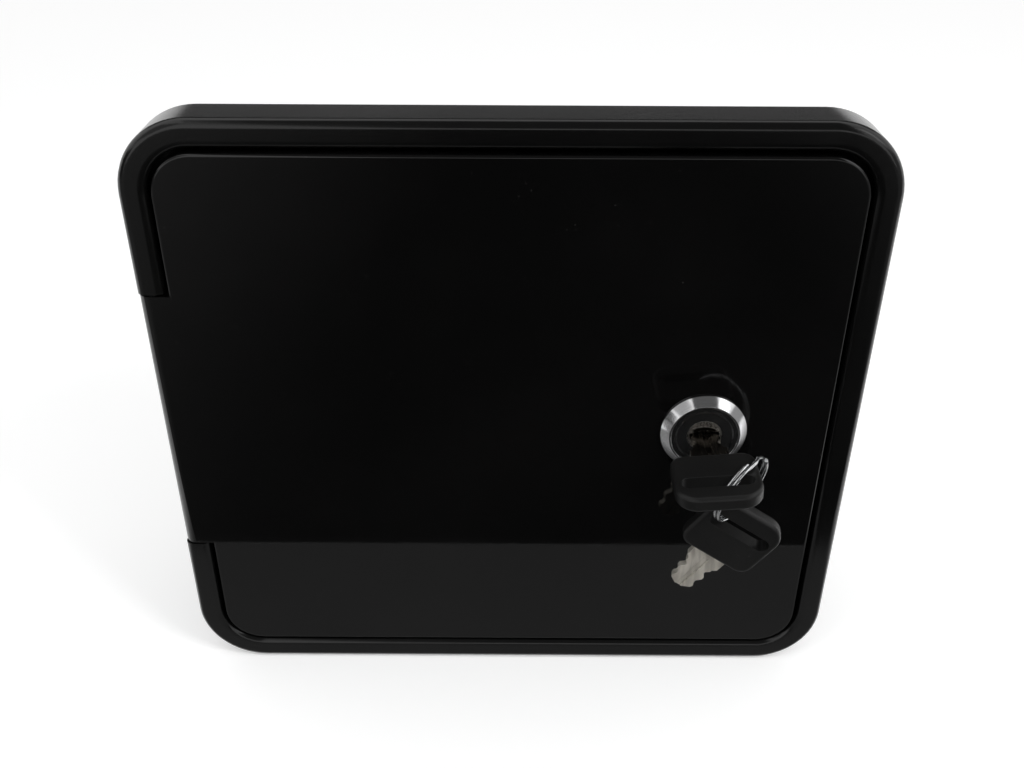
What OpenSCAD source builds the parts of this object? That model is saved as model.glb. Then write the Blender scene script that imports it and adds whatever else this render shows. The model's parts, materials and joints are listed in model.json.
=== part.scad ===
// Lockable water fill hatch for a caravan wall.
// Millimetres. The origin is the middle of the flange's back face, where it meets the wall.
// X runs to the right seen from outside, Z runs up, and the hatch faces -Y.
// The parts are drawn lying on their backs (x, y up the hatch, z out of the wall) and stood up at the end.

/* [Flange] */
// Overall width of the flange
flange_w = 210; // [200:1:240]
// Overall height of the flange
flange_h = 190; // [184:1:220]
// Depth of the flange from the wall to its front face
flange_d = 14; // [13.5:0.25:16]
// Outer corner radius of the flange
flange_r = 21; // [19:0.5:28]
// Width of the raised rim round the door
rim_w = 8; // [8:0.25:10]
// Rounding of the rim's front edges
rim_edge_r = 2.5; // [1.5:0.25:3]
// Thickness of the rim's outer wall
rim_outer_t = 2.2; // [1.6:0.1:2.6]
// Thickness of the rim's inner wall
rim_inner_t = 2; // [1.6:0.1:2.6]
// Thickness of the rim's front
rim_front_t = 2.4; // [1.8:0.1:2.8]
// Thickness of the ledge behind the door
ledge_t = 3; // [2.5:0.1:3.5]
// Thickness of the ribs inside the rim
rim_rib_t = 1.4; // [1:0.1:2]
// Greatest distance between two ribs inside the rim
rim_rib_pitch = 34; // [25:1:50]

/* [Opening and pan] */
// Width of the ledge from the rim to the opening behind the door
ledge_w = 17; // [16:0.25:19]
// Corner radius of the opening
opening_r = 13; // [10:0.5:20]
// Wall thickness of the pan
pan_t = 2.5; // [2:0.1:3]
// Depth of the pan behind the wall's face
pan_d = 58; // [50:1:66]
// Greatest distance between two ribs outside the pan
pan_rib_pitch = 30; // [20:1:50]
// Depth of the groove that takes the pan's edge
pan_groove_d = 1.2; // [0.8:0.1:1.6]
// Play on each side of the pan's edge in its groove
pan_play = 0.15; // [0.1:0.05:0.3]

/* [Screw holes] */
// Diameter of the screw holes
screw_hole_d = 4.5; // [4:0.1:5]
// Distance of the screw holes from the opening's edge
screw_inset = 9.5; // [9.25:0.25:10]
// Diameter of the countersink at each screw hole
screw_sink_d = 8; // [7:0.25:8.5]

/* [Door] */
// Gap between the door and the rim
seam = 1; // [0.8:0.1:1.4]
// Thickness of the door's front
door_t = 3; // [2.5:0.1:3.2]
// Thickness of the door's skirt
skirt_t = 2.2; // [1.6:0.1:2.6]
// How far the skirt stays off the ledge
skirt_gap = 3; // [1.5:0.25:4]
// Rounding of the door's front edge
door_edge_r = 1; // [0.5:0.1:1.5]
// Thickness of the ribs on the door's back
door_rib_t = 1.6; // [1.2:0.1:2.2]
// Height of the ribs on the door's back
door_rib_h = 3; // [2:0.25:3.5]

/* [Hinge] */
// Radius of the hinge barrel
barrel_r = 3.8; // [3.6:0.05:4]
// Length of the hinge barrel
barrel_len = 88.4; // [70:0.4:100]
// Gap at each end of the barrel
barrel_end_gap = 0.6; // [0.4:0.1:1]
// Radius of the hinge pin
pin_r = 1.5; // [1.2:0.1:1.7]
// Play round the pin in the barrel
pin_play = 0.08; // [0.05:0.01:0.1]
// Play round the pin in the frame
pin_seat_play = 0.04; // [0.02:0.01:0.08]
// Length of the pin in each end boss
pin_seat_len = 10; // [8:0.5:14]
// Gap between the barrel and the floor of its notch
notch_gap = 0.8; // [0.5:0.1:1]

/* [Seal] */
// Width of the rubber seal
seal_w = 4.4; // [3.6:0.1:4.6]
// Distance from the opening's edge to the seal
seal_inset = 0.6; // [0.4:0.1:1]
// Gap between the seal and the door's rib
seal_gap = 0.3; // [0.2:0.05:0.5]

/* [Lock] */
// Distance from the door's free edge to the middle of the lock
lock_inset = 37.7; // [36:0.1:38.5]
// Outer radius of the bright bezel
bezel_r = 13; // [12:0.25:15]
// Inner radius of the bezel's bevel
bezel_in_r = 10; // [9.8:0.05:10.4]
// Height of the bezel above the door
bezel_h = 3; // [2.4:0.1:3.6]
// Radius of the lock's threaded body
lock_r = 8; // [7.6:0.1:8.2]
// Distance across the flats of the lock's body
lock_flats = 14; // [13:0.25:15]
// Play of the lock's body in the door
lock_play = 0.2; // [0.1:0.05:0.3]
// Radius of the turning plug
plug_r = 5.25; // [5.1:0.05:5.5]
// Play round the plug
plug_play = 0.06; // [0.04:0.01:0.1]
// Width across the flats of the lock nut
nut_af = 22; // [20:0.5:23]
// Thickness of the lock nut
nut_t = 3.4; // [2.5:0.1:4]
// Number of notches round the lock washer
washer_notches = 16; // [8:1:20]
// Thickness of the cam
cam_t = 2; // [1.5:0.1:2.5]
// Distance from the lock's axis to the cam's tip
cam_reach = 20.5; // [19:0.25:21]
// Width of the cam's arm
cam_w = 9; // [7:0.5:10]
// Gap between the cam and the back of the strike
cam_gap = 0.8; // [0.5:0.1:1.2]
// Length of the strike tongue that the cam turns behind
strike_len = 9; // [8.5:0.25:10]
// Width of the strike tongue
strike_w = 26; // [20:1:30]

/* [Keys] */
// Width of a key's head
head_w = 24.5; // [24:0.25:26]
// Length of a key's head
head_len = 21.5; // [21:0.25:23]
// Thickness of a key's head
head_t = 4.7; // [4.4:0.1:5]
// Corner radius of a key's head next to the blade
head_root_r = 4; // [3:0.25:5]
// Corner radius of a key's head at its far end
head_tip_r = 6.5; // [5:0.25:7.5]
// Rounding of a key head's edges
head_edge_r = 1.3; // [0.8:0.1:1.6]
// Length of the slot in a key's head
slot_len = 20.4; // [20.2:0.1:20.6]
// Width of the slot in a key's head
slot_w = 4.6; // [4.5:0.05:5]
// Distance from the blade's shoulder to the middle of the slot
slot_at = 13.55; // [13.4:0.05:13.7]
// Length of a key's blade outside its head
blade_len = 16.5; // [16:0.25:18]
// Width of a key's blade
blade_w = 8.6; // [8:0.1:8.8]
// Thickness of a key's blade
blade_t = 2.1; // [1.8:0.1:2.2]
// Width of the wide part of the blade next to the head
shoulder_w = 11; // [10:0.25:12]
// Length of the wide part of the blade
shoulder_len = 5; // [4:0.25:6]
// Depth of the cuts in a key's edges
bitting_d = 1.1; // [0.8:0.1:1.3]
// Play of the blade in the keyway
key_play = 0.15; // [0.1:0.05:0.2]
// Distance from the flange's front face to the head of the key in the lock
key_out = 14.7; // [14.5:0.05:14.8]
// Turn of the key and the plug in the lock, anticlockwise seen from outside
key_turn = 5; // [0:0.5:6]
// Radius of the key ring to the middle of its wire
ring_r = 10.8; // [10.6:0.1:11]
// Radius of the key ring's wire
wire_r = 0.6; // [0.45:0.05:0.65]

/* [Water fittings] */
// Distance of the fill neck to the left of the middle
neck_x = 20; // [10:1:30]
// Inner radius of the fill neck
neck_bore_r = 13; // [11:0.5:14]
// Outer radius of the fill neck inside the pan
neck_r = 18; // [17:0.25:19]
// Height of the fill neck above the pan's floor
neck_h = 20; // [16:0.5:24]
// Outer radius of the hose tail
tail_r = 16; // [15.5:0.25:16.5]
// Length of the hose tail
tail_len = 26; // [22:1:36]
// Outer radius of the fill cap
cap_r = 24; // [23:0.5:27]
// Height of the fill cap
cap_h = 16; // [14:0.5:18]
// Number of grips round the fill cap
cap_grips = 12; // [8:1:16]
// Outer radius of the vent's hose tail
vent_r = 6.5; // [6:0.25:8]
// Inner radius of the vent
vent_bore_r = 4.5; // [3.5:0.25:5]
// Length of the vent's hose tail
vent_len = 20; // [16:1:28]
// Thickness of the nut behind each fitting
fitting_nut_t = 5; // [4:0.5:7]
// How far each fitting's threaded shank stands out of its nut
shank_out = 2; // [1:0.5:4]
// How much thicker each shank is than its hose tail, in radius
shank_step = 1; // [0.5:0.1:1.2]

/* [Hidden] */
$fn = 96;
// Overlap that makes a cut run clear of a face
over = 1;

// Recess in the flange that the door fills
recess_w = flange_w - 2 * rim_w;
recess_h = flange_h - 2 * rim_w;
recess_r = flange_r - rim_w;

// Opening behind the door, and the screws round it
opening_w = recess_w - 2 * ledge_w;
opening_h = recess_h - 2 * ledge_w;
screw_x = opening_w / 2 + screw_inset;
screw_y = opening_h / 2 + screw_inset;
screw_sink_h = (screw_sink_d - screw_hole_d) / 2;

// Door
door_w = recess_w - 2 * seam;
door_h = recess_h - 2 * seam;
door_r = recess_r - seam;
door_back = flange_d - door_t;
skirt_bottom = ledge_t + skirt_gap;
door_band = 6;

// How far the ribs run into the door's front
rib_root = 0.5;

// Hinge, along the left edge
pin_x = -(flange_w / 2 - barrel_r);
pin_z = flange_d - barrel_r;
notch_half = barrel_len / 2 + barrel_end_gap;
notch_floor = pin_z - barrel_r - notch_gap;
notch_floor_t = 2;
pin_short = 0.5;
pin_len = 2 * (notch_half + pin_seat_len - pin_short);
boss_len = pin_seat_len + 2;
boss_inset = 1;

// Seal and the door's rib that presses on it
seal_mid_x = opening_w / 2 + seal_inset + seal_w / 2;
seal_mid_y = opening_h / 2 + seal_inset + seal_w / 2;
seal_r = opening_r + seal_inset + seal_w / 2;
seal_rib_t = 1.5;
seal_rib_h = 1.7;
seal_top = door_back - seal_rib_h - seal_gap;
seal_wall = 1;
seal_flat = 0.01;

// Lock, on the door's right side
lock_x = door_w / 2 - lock_inset;
bezel_seat = 0.8;
bezel_edge_h = 0.6;
bezel_lip = 0.6;
bezel_bevel_run = bezel_r - bezel_in_r - bezel_lip;
collar_play = 0.1;
collar_h = bezel_h - 0.5;
collar_groove_r = 8.5;
collar_ring_t = 0.5;
collar_ring_h = 0.8;
collar_ring_out = 0.15;
plug_face = flange_d + bezel_h - 0.7;
washer_t = 0.8;
washer_r = nut_af / 2 + 1.5;
washer_notch_r = 1;
cam_front = -cam_gap;
lock_end = cam_front + 0.2;
lock_ring_r = washer_r + 3;
tail_side = 5;
cam_hub_r = 6.5;
cam_screw_r = 1.6;
cam_screw_depth = 6;
cam_head_r = 3.6;
cam_head_h = 2.2;
cam_screw_short = 0.5;
cam_screw_play = 0.05;
cam_slot_w = 1;
cam_slot_d = 1;
cam_play = 0.05;
keyway_depth = 12;
mouth_w = 8.9;
mouth_h = 3.6;
mouth_d = 0.7;

// Key in the lock
key_shoulder = flange_d + key_out;
blade_root = 8;
head_band = 2.6;
head_core_in = 2.1;
groove_end = 2;
tip_w = 1.6;
shoulder_ramp = 1;
wire_pitch = 0.95;
groove_w = 1.8;
groove_d = 0.4;

// Key ring: its middle, and the tilt and turn of its axis
ring_x = lock_x + 8.27;
ring_y = -5.51;
ring_z = key_shoulder + 6.62;
ring_tilt = 47.57;
ring_turn = -19.09;

// Spare key: the middle of its slot, its turn in its own plane, and how it leans and faces sideways
spare_x = lock_x + 9.14;
spare_y = -19.1;
spare_z = key_shoulder + 7.18;
spare_turn = -32;
spare_lean = 5;
spare_yaw = -9;

// Pan and water fittings
pan_floor = -pan_d + pan_t;
pan_r = opening_r + pan_t;
pan_rib_t = 1.6;
pan_rib_h = 1.5;
pan_rib_gap = 4;
pan_foot_h = 2;
pan_foot_in = 2;
shank_r = tail_r + shank_step;
shank_end = -pan_d - fitting_nut_t - shank_out;
vent_shank_r = vent_r + shank_step;
neck_wall_r = shank_r + 7;
neck_flange_t = 3;
neck_seat_t = 1;
neck_y = -4;
neck_top = pan_floor + neck_seat_t + neck_h;
cap_t = 3;
cap_washer_t = 2;
cap_bar_w = 5;
cap_bar_h = 6;
cap_bar_in = 4;
cap_dish_d = 1;
cap_dish_in = 5;
cap_grip_r = 2.5;
cap_grip_out = 1.5;
cap_play = 0.4;
vent_x = 36;
vent_y = 26;
vent_flange_r = vent_shank_r + 4.5;
vent_flange_t = 2.5;
fitting_play = 0.2;
nut_play = 0.05;
nut_face = 0.98;

// Two-dimensional shapes

module rounded_rect(w, h, r) {
    square([w - 2 * r, h], center = true);
    square([w, h - 2 * r], center = true);
    for (sx = [-1, 1], sy = [-1, 1])
        translate([sx * (w / 2 - r), sy * (h / 2 - r)]) circle(r);
}

module stadium(len, w) {
    square([len - w, w], center = true);
    for (s = [-1, 1]) translate([s * (len - w) / 2, 0]) circle(w / 2);
}

// Two arcs that meet in a point at each end
module lens(w, h) {
    r = (w * w + h * h) / (4 * h);
    intersection_for(s = [-1, 1]) translate([0, s * (r - h / 2)]) circle(r);
}

module double_d(r, flats) {
    intersection() {
        circle(r);
        square([2 * r + over, flats], center = true);
    }
}

// A bar's section from x0 to x1 and y0 to y1, with rounded corners at the top
module round_topped(x0, x1, y0, y1, r) {
    translate([x0, y0]) square([x1 - x0, y1 - y0 - r]);
    translate([x0 + r, y0]) square([x1 - x0 - 2 * r, y1 - y0]);
    for (x = [x0 + r, x1 - r]) translate([x, y1 - r]) circle(r);
}

// Three-dimensional helpers

// Stands a part that is drawn lying on its back upright
module upright() {
    rotate([90, 0, 0]) children();
}

module slab(w, h, r, z0, z1) {
    translate([0, 0, z0]) linear_extrude(z1 - z0) rounded_rect(w, h, r);
}

// Carries a section round a rounded rectangle; x in the section is the distance from a corner's middle
module carried_round(w, h, r) {
    for (k = [0:3]) {
        ax = (k % 2 == 0 ? w : h) / 2 - r;
        ay = (k % 2 == 0 ? h : w) / 2 - r;
        rotate([0, 0, 90 * k]) translate([ax, ay, 0]) {
            rotate_extrude(angle = 90) children();
            rotate([90, 0, 0]) linear_extrude(2 * ay) children();
        }
    }
}

module at_screws() {
    for (sx = [-1, 0, 1], sy = [-1, 1]) translate([sx * screw_x, sy * screw_y, 0]) children();
}

module along_hinge(len, r) {
    translate([pin_x, len / 2, pin_z]) rotate([90, 0, 0]) cylinder(h = len, r = r);
}

// Flange

module rim_section() {
    difference() {
        round_topped(recess_r, flange_r, 0, flange_d, rim_edge_r);
        translate([recess_r + rim_inner_t, -over])
            square([rim_w - rim_inner_t - rim_outer_t, flange_d - rim_front_t + over]);
    }
}

module rim_ribs() {
    rib_w = rim_w - 2 * boss_inset;
    for (k = [0:3]) {
        run = (k % 2 == 0 ? flange_h : flange_w) - 2 * flange_r;
        reach = (k % 2 == 0 ? flange_w : flange_h) / 2 - rim_w + boss_inset;
        n = ceil(run / rim_rib_pitch);
        rotate([0, 0, 90 * k]) for (i = [0:n])
            translate([reach, -run / 2 + i * run / n - rim_rib_t / 2, 0])
                cube([rib_w, rim_rib_t, flange_d - rim_front_t + boss_inset / 2]);
    }
}

module hinge_bosses() {
    x0 = -flange_w / 2 + boss_inset;
    w = rim_w - 2 * boss_inset;
    translate([x0, -notch_half - boss_len, notch_floor - notch_floor_t])
        cube([w, 2 * (notch_half + boss_len), notch_floor_t]);
    for (s = [-1, 1]) translate([x0, s * (notch_half + boss_len / 2) - boss_len / 2, 0])
        cube([w, boss_len, flange_d - boss_inset]);
}

module hinge_notch() {
    translate([-flange_w / 2 - over, -notch_half, notch_floor])
        cube([rim_w + over, 2 * notch_half, flange_d]);
}

module strike_tongue() {
    translate([opening_w / 2 - strike_len, -strike_w / 2, 0]) cube([strike_len + over, strike_w, ledge_t]);
}

module frame() {
    color([0.02, 0.02, 0.02]) upright() difference() {
        union() {
            carried_round(flange_w, flange_h, flange_r) rim_section();
            rim_ribs();
            hinge_bosses();
            difference() {
                slab(recess_w + 2 * boss_inset, recess_h + 2 * boss_inset, recess_r + boss_inset, 0, ledge_t);
                slab(opening_w, opening_h, opening_r, -over, ledge_t + over);
            }
            strike_tongue();
        }
        hinge_notch();
        along_hinge(2 * (notch_half + pin_seat_len), pin_r + pin_seat_play);
        at_screws() {
            translate([0, 0, -over]) cylinder(h = ledge_t + 2 * over, d = screw_hole_d);
            translate([0, 0, ledge_t - screw_sink_h]) cylinder(h = screw_sink_h, d1 = screw_hole_d, d2 = screw_sink_d);
        }
        difference() {
            slab(opening_w + 2 * (pan_t + pan_play), opening_h + 2 * (pan_t + pan_play), pan_r + pan_play,
                -over, pan_groove_d);
            slab(opening_w - 2 * pan_play, opening_h - 2 * pan_play, opening_r - pan_play,
                -2 * over, pan_groove_d + over);
        }
    }
}

module hinge_pin() {
    color([0.75, 0.75, 0.76]) upright() along_hinge(pin_len, pin_r);
}

// Door

module hinge_leaf() {
    translate([pin_x, -barrel_len / 2, door_back])
        cube([-door_w / 2 + door_r - pin_x, barrel_len, door_t]);
    along_hinge(barrel_len, barrel_r);
}

module door_ribs() {
    z0 = door_back - door_rib_h;
    h = door_rib_h + rib_root;
    rib_run = 2 * (seal_mid_x - seal_w);
    rib_rise = 2 * (seal_mid_y - seal_w);
    difference() {
        union() {
            for (x = [-1, 0, 1] * rib_run / 4)
                translate([x - door_rib_t / 2, -rib_rise / 2, z0]) cube([door_rib_t, rib_rise, h]);
            for (y = [-1, 1] * rib_rise / 5)
                translate([-rib_run / 2, y - door_rib_t / 2, z0]) cube([rib_run, door_rib_t, h]);
            translate([lock_x, 0, z0]) cylinder(h = h, r = lock_ring_r);
        }
        translate([lock_x, 0, z0 - over]) cylinder(h = door_rib_h + over, r = lock_ring_r - door_rib_t);
    }
}

// Edge band of the door's front, with the skirt below it
module door_edge_section() {
    difference() {
        round_topped(door_r - door_band, door_r, skirt_bottom, flange_d, door_edge_r);
        translate([door_r - door_band - over, skirt_bottom - over])
            square([door_band - skirt_t + over, door_back - skirt_bottom + over]);
    }
}

module door_panel() {
    color([0.02, 0.02, 0.02]) upright() difference() {
        union() {
            carried_round(door_w, door_h, door_r) door_edge_section();
            slab(door_w - door_band, door_h - door_band, door_r - door_band / 2, door_back, flange_d);
            hinge_leaf();
            door_ribs();
            carried_round(2 * seal_mid_x + seal_rib_t, 2 * seal_mid_y + seal_rib_t, seal_r + seal_rib_t / 2)
                translate([seal_r - seal_rib_t / 2, door_back - seal_rib_h])
                    square([seal_rib_t, seal_rib_h + rib_root]);
        }
        translate([lock_x, 0, door_back - over]) linear_extrude(door_t + 2 * over)
            double_d(lock_r + lock_play, lock_flats + 2 * lock_play);
        along_hinge(barrel_len + 2 * over, pin_r + pin_play);
    }
}

module door_seal() {
    color([0.05, 0.05, 0.05]) upright()
        carried_round(2 * seal_mid_x + seal_w, 2 * seal_mid_y + seal_w, seal_r + seal_w / 2) difference() {
            round_topped(seal_r - seal_w / 2, seal_r + seal_w / 2, ledge_t, seal_top, seal_w / 2 - seal_flat);
            translate([seal_r, seal_top - seal_w / 2]) circle(seal_w / 2 - seal_wall);
        }
}

// Pan and water fittings

module pan_ribs() {
    for (k = [0:3]) {
        run = (k % 2 == 0 ? opening_h : opening_w) - 2 * opening_r;
        reach = (k % 2 == 0 ? opening_w : opening_h) / 2 + pan_t;
        n = ceil(run / pan_rib_pitch);
        rotate([0, 0, 90 * k]) for (i = [0:n])
            translate([reach - over, -run / 2 + i * run / n - pan_rib_t / 2, -pan_d])
                cube([pan_rib_h + over, pan_rib_t, pan_d - pan_rib_gap]);
    }
}

module pan_foot() {
    difference() {
        slab(opening_w - 2 * pan_foot_in, opening_h - 2 * pan_foot_in, opening_r, -pan_d - pan_foot_h, -pan_d + over);
        slab(opening_w - 2 * (pan_foot_in + pan_rib_t), opening_h - 2 * (pan_foot_in + pan_rib_t),
            opening_r - pan_rib_t, -pan_d - pan_foot_h - over, -pan_d + 2 * over);
    }
}

module recess_pan() {
    color([0.03, 0.03, 0.03]) upright() difference() {
        union() {
            slab(opening_w + 2 * pan_t, opening_h + 2 * pan_t, pan_r, -pan_d, pan_groove_d);
            pan_ribs();
            pan_foot();
        }
        slab(opening_w, opening_h, opening_r, pan_floor, pan_groove_d + over);
        translate([-neck_x, neck_y, -pan_d - over]) cylinder(h = pan_t + 2 * over, r = shank_r + fitting_play);
        translate([vent_x, vent_y, -pan_d - over]) cylinder(h = pan_t + 2 * over, r = vent_shank_r + fitting_play);
    }
}

module fill_neck() {
    color([0.03, 0.03, 0.03]) upright() translate([-neck_x, neck_y, 0]) difference() {
        union() {
            translate([0, 0, pan_floor + neck_seat_t]) cylinder(h = neck_h, r = neck_r);
            translate([0, 0, pan_floor + neck_seat_t]) cylinder(h = neck_flange_t, r = neck_wall_r);
            translate([0, 0, shank_end]) cylinder(h = pan_floor + neck_seat_t + over - shank_end, r = shank_r);
            translate([0, 0, shank_end - tail_len]) cylinder(h = tail_len + over, r = tail_r);
        }
        translate([0, 0, shank_end - tail_len - over]) cylinder(h = -shank_end + tail_len, r = neck_bore_r);
    }
}

module neck_gasket() {
    color([0.06, 0.06, 0.06]) upright() translate([-neck_x, neck_y, pan_floor]) difference() {
        cylinder(h = neck_seat_t, r = neck_wall_r);
        translate([0, 0, -over]) cylinder(h = neck_seat_t + 2 * over, r = shank_r + fitting_play);
    }
}

// A hexagon nut, r over its corners, with the corners of its outer face turned down
module hex_nut(r, h) {
    face_r = nut_face * r * cos(30);
    reach = r + over;
    intersection() {
        cylinder(h = h, r = r, $fn = 6);
        rotate_extrude() polygon([[0, 0], [face_r, 0], [reach, (reach - face_r) * tan(30)],
            [reach, h + over], [0, h + over]]);
    }
}

module neck_nut() {
    color([0.05, 0.05, 0.05]) upright() translate([-neck_x, neck_y, -pan_d - fitting_nut_t]) difference() {
        hex_nut(neck_wall_r, fitting_nut_t);
        translate([0, 0, -over]) cylinder(h = fitting_nut_t + 2 * over, r = shank_r + fitting_play / 2);
    }
}

module cap_outline() {
    circle(cap_r - cap_grip_out);
    for (i = [0.5:cap_grips]) rotate(i * 360 / cap_grips) translate([cap_r - cap_grip_r, 0]) circle(cap_grip_r);
}

module fill_cap() {
    z1 = neck_top + cap_washer_t + cap_t;
    color([0.05, 0.05, 0.05]) upright() translate([-neck_x, neck_y, 0]) difference() {
        union() {
            translate([0, 0, z1 - cap_h]) linear_extrude(cap_h) cap_outline();
            translate([0, 0, z1 - cap_dish_d]) linear_extrude(cap_bar_h + cap_dish_d)
                stadium(2 * (cap_r - cap_bar_in), cap_bar_w);
        }
        translate([0, 0, z1 - cap_dish_d]) linear_extrude(cap_dish_d + over) difference() {
            circle(cap_r - cap_dish_in);
            stadium(2 * cap_r, cap_bar_w);
        }
        translate([0, 0, z1 - cap_h - over]) cylinder(h = cap_h - cap_t + over, r = neck_r + cap_play);
    }
}

module cap_washer() {
    color([0.3, 0.3, 0.3]) upright() translate([-neck_x, neck_y, neck_top]) difference() {
        cylinder(h = cap_washer_t, r = neck_r);
        translate([0, 0, -over]) cylinder(h = cap_washer_t + 2 * over, r = neck_bore_r);
    }
}

module vent_fitting() {
    color([0.03, 0.03, 0.03]) upright() translate([vent_x, vent_y, 0]) difference() {
        union() {
            translate([0, 0, pan_floor]) cylinder(h = vent_flange_t, r = vent_flange_r);
            translate([0, 0, shank_end]) cylinder(h = pan_floor + over - shank_end, r = vent_shank_r);
            translate([0, 0, shank_end - vent_len]) cylinder(h = vent_len + over, r = vent_r);
        }
        translate([0, 0, shank_end - vent_len - over])
            cylinder(h = pan_floor + vent_flange_t + 2 * over - shank_end + vent_len, r = vent_bore_r);
    }
}

module vent_nut() {
    color([0.05, 0.05, 0.05]) upright() translate([vent_x, vent_y, -pan_d - fitting_nut_t]) difference() {
        hex_nut(vent_flange_r, fitting_nut_t);
        translate([0, 0, -over]) cylinder(h = fitting_nut_t + 2 * over, r = vent_shank_r + fitting_play / 2);
    }
}

// Lock

module at_lock() {
    upright() translate([lock_x, 0, 0]) children();
}

// Places what turns with the key
module at_core() {
    at_lock() rotate([0, 0, key_turn]) children();
}

module lock_bezel() {
    z = flange_d;
    color([0.8, 0.8, 0.82]) at_lock() rotate_extrude() polygon([
        [lock_r + lock_play, z], [bezel_r, z], [bezel_r, z + bezel_edge_h], [bezel_r - bezel_bevel_run, z + bezel_h],
        [bezel_in_r, z + bezel_h], [bezel_in_r, z + bezel_seat], [lock_r + lock_play, z + bezel_seat]]);
}

module lock_housing() {
    z = flange_d;
    color([0.03, 0.03, 0.03]) at_lock() difference() {
        union() {
            translate([0, 0, z + bezel_seat]) cylinder(h = collar_h - bezel_seat, r = bezel_in_r - collar_play);
            translate([0, 0, lock_end]) linear_extrude(z + bezel_seat - lock_end + over)
                double_d(lock_r, lock_flats);
        }
        translate([0, 0, lock_end - over]) cylinder(h = z + collar_h - lock_end + 2 * over, r = plug_r + plug_play);
        translate([0, 0, z + collar_h - collar_ring_h + collar_ring_out]) difference() {
            cylinder(h = over, r = collar_groove_r + collar_ring_t / 2);
            translate([0, 0, -over]) cylinder(h = 3 * over, r = collar_groove_r - collar_ring_t / 2);
        }
    }
}

module lock_collar_ring() {
    color([0.75, 0.75, 0.76]) at_lock() translate([0, 0, flange_d + collar_h - collar_ring_h + collar_ring_out]) difference() {
        cylinder(h = collar_ring_h, r = collar_groove_r + collar_ring_t / 2);
        translate([0, 0, -over]) cylinder(h = 3 * over, r = collar_groove_r - collar_ring_t / 2);
    }
}

module lock_washer() {
    color([0.6, 0.6, 0.6]) at_lock() translate([0, 0, door_back - washer_t]) difference() {
        cylinder(h = washer_t, r = washer_r);
        translate([0, 0, -over]) cylinder(h = washer_t + 2 * over, r = lock_r + lock_play);
        for (i = [1:washer_notches]) rotate(i * 360 / washer_notches) translate([washer_r, 0, -over])
            cylinder(h = washer_t + 2 * over, r = washer_notch_r);
    }
}

module lock_nut() {
    color([0.65, 0.65, 0.66]) at_lock() translate([0, 0, door_back - washer_t - nut_t]) difference() {
        hex_nut(nut_af / 2 / cos(30), nut_t);
        translate([0, 0, -over]) cylinder(h = nut_t + 2 * over, r = lock_r + nut_play);
    }
}

module lock_plug() {
    color([0.6, 0.55, 0.5]) at_core() difference() {
        union() {
            translate([0, 0, cam_front]) cylinder(h = plug_face - cam_front, r = plug_r);
            translate([-tail_side / 2, -tail_side / 2, cam_front - cam_t]) cube([tail_side, tail_side, cam_t + over]);
        }
        translate([-blade_w / 2 - key_play, -blade_t / 2 - key_play, plug_face - keyway_depth])
            cube([blade_w + 2 * key_play, blade_t + 2 * key_play, keyway_depth + over]);
        translate([0, 0, plug_face - mouth_d]) linear_extrude(mouth_d + over) lens(mouth_w, mouth_h);
        translate([0, 0, cam_front - cam_t - over])
            cylinder(h = cam_screw_depth + over, r = cam_screw_r + cam_screw_play);
    }
}

module lock_cam() {
    hole = tail_side + 2 * cam_play;
    color([0.7, 0.7, 0.72]) at_core() translate([0, 0, cam_front - cam_t]) difference() {
        union() {
            cylinder(h = cam_t, r = cam_hub_r);
            translate([-cam_w / 2, 0, 0]) cube([cam_w, cam_reach - cam_w / 2, cam_t]);
            translate([0, cam_reach - cam_w / 2, 0]) cylinder(h = cam_t, r = cam_w / 2);
        }
        translate([-hole / 2, -hole / 2, -over]) cube([hole, hole, cam_t + 2 * over]);
    }
}

module cam_screw() {
    z = cam_front - cam_t;
    color([0.7, 0.7, 0.72]) at_core() {
        difference() {
            translate([0, 0, z - cam_head_h]) cylinder(h = cam_head_h, r = cam_head_r);
            translate([-cam_slot_w / 2, -cam_head_r - over, z - cam_head_h - over])
                cube([cam_slot_w, 2 * (cam_head_r + over), cam_slot_d + over]);
        }
        translate([0, 0, z - over]) cylinder(h = over + cam_screw_depth - cam_screw_short, r = cam_screw_r);
    }
}

// Keys: drawn flat, with the shoulder's middle at the origin and the blade along -Y

module blade_outline() {
    w = blade_w / 2;
    s = shoulder_w / 2;
    low = w - bitting_d;
    run = (blade_len - shoulder_len) / 5;
    y0 = -shoulder_len;
    polygon([
        [-s, 0], [-s, y0 + shoulder_ramp], [-w, y0], [-w, y0 - 0.6 * run], [-low, y0 - run], [-low, y0 - 1.4 * run],
        [-w, y0 - 2 * run], [-w, y0 - 2.4 * run], [-low, y0 - 3 * run], [-low, y0 - 3.4 * run],
        [-w + 0.5, y0 - 3.8 * run], [-w + 0.8, y0 - 4.3 * run], [-tip_w / 2, -blade_len],
        [tip_w / 2, -blade_len], [w - 0.8, y0 - 4.3 * run], [w - 0.4, y0 - 3.9 * run], [low, y0 - 3.2 * run],
        [low, y0 - 2.8 * run], [w, y0 - 2.2 * run], [w, y0 - 1.7 * run], [low, y0 - 1.1 * run],
        [low, y0 - 0.8 * run], [w, y0 - 0.3 * run], [w, y0], [s, y0 + shoulder_ramp], [s, 0]]);
}

module blade_shape() {
    difference() {
        union() {
            translate([0, 0, -blade_t / 2]) linear_extrude(blade_t) blade_outline();
            translate([-blade_w / 2, -over, -blade_t / 2]) cube([blade_w, blade_root + over, blade_t]);
        }
        for (s = [-1, 1]) translate([-groove_w / 2, -blade_len - over, s * blade_t / 2 - groove_d])
            cube([groove_w, blade_len + over - groove_end, 2 * groove_d]);
    }
}

// Section of a head's rounded edge; x is 0 at the outline
module head_edge_section() {
    h = head_t / 2;
    e = head_edge_r;
    translate([-head_band, -h]) square([head_band - e, head_t]);
    translate([-head_band, -h + e]) square([head_band, head_t - 2 * e]);
    for (s = [-1, 1]) translate([-e, s * (h - e)]) circle(e);
}

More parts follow.
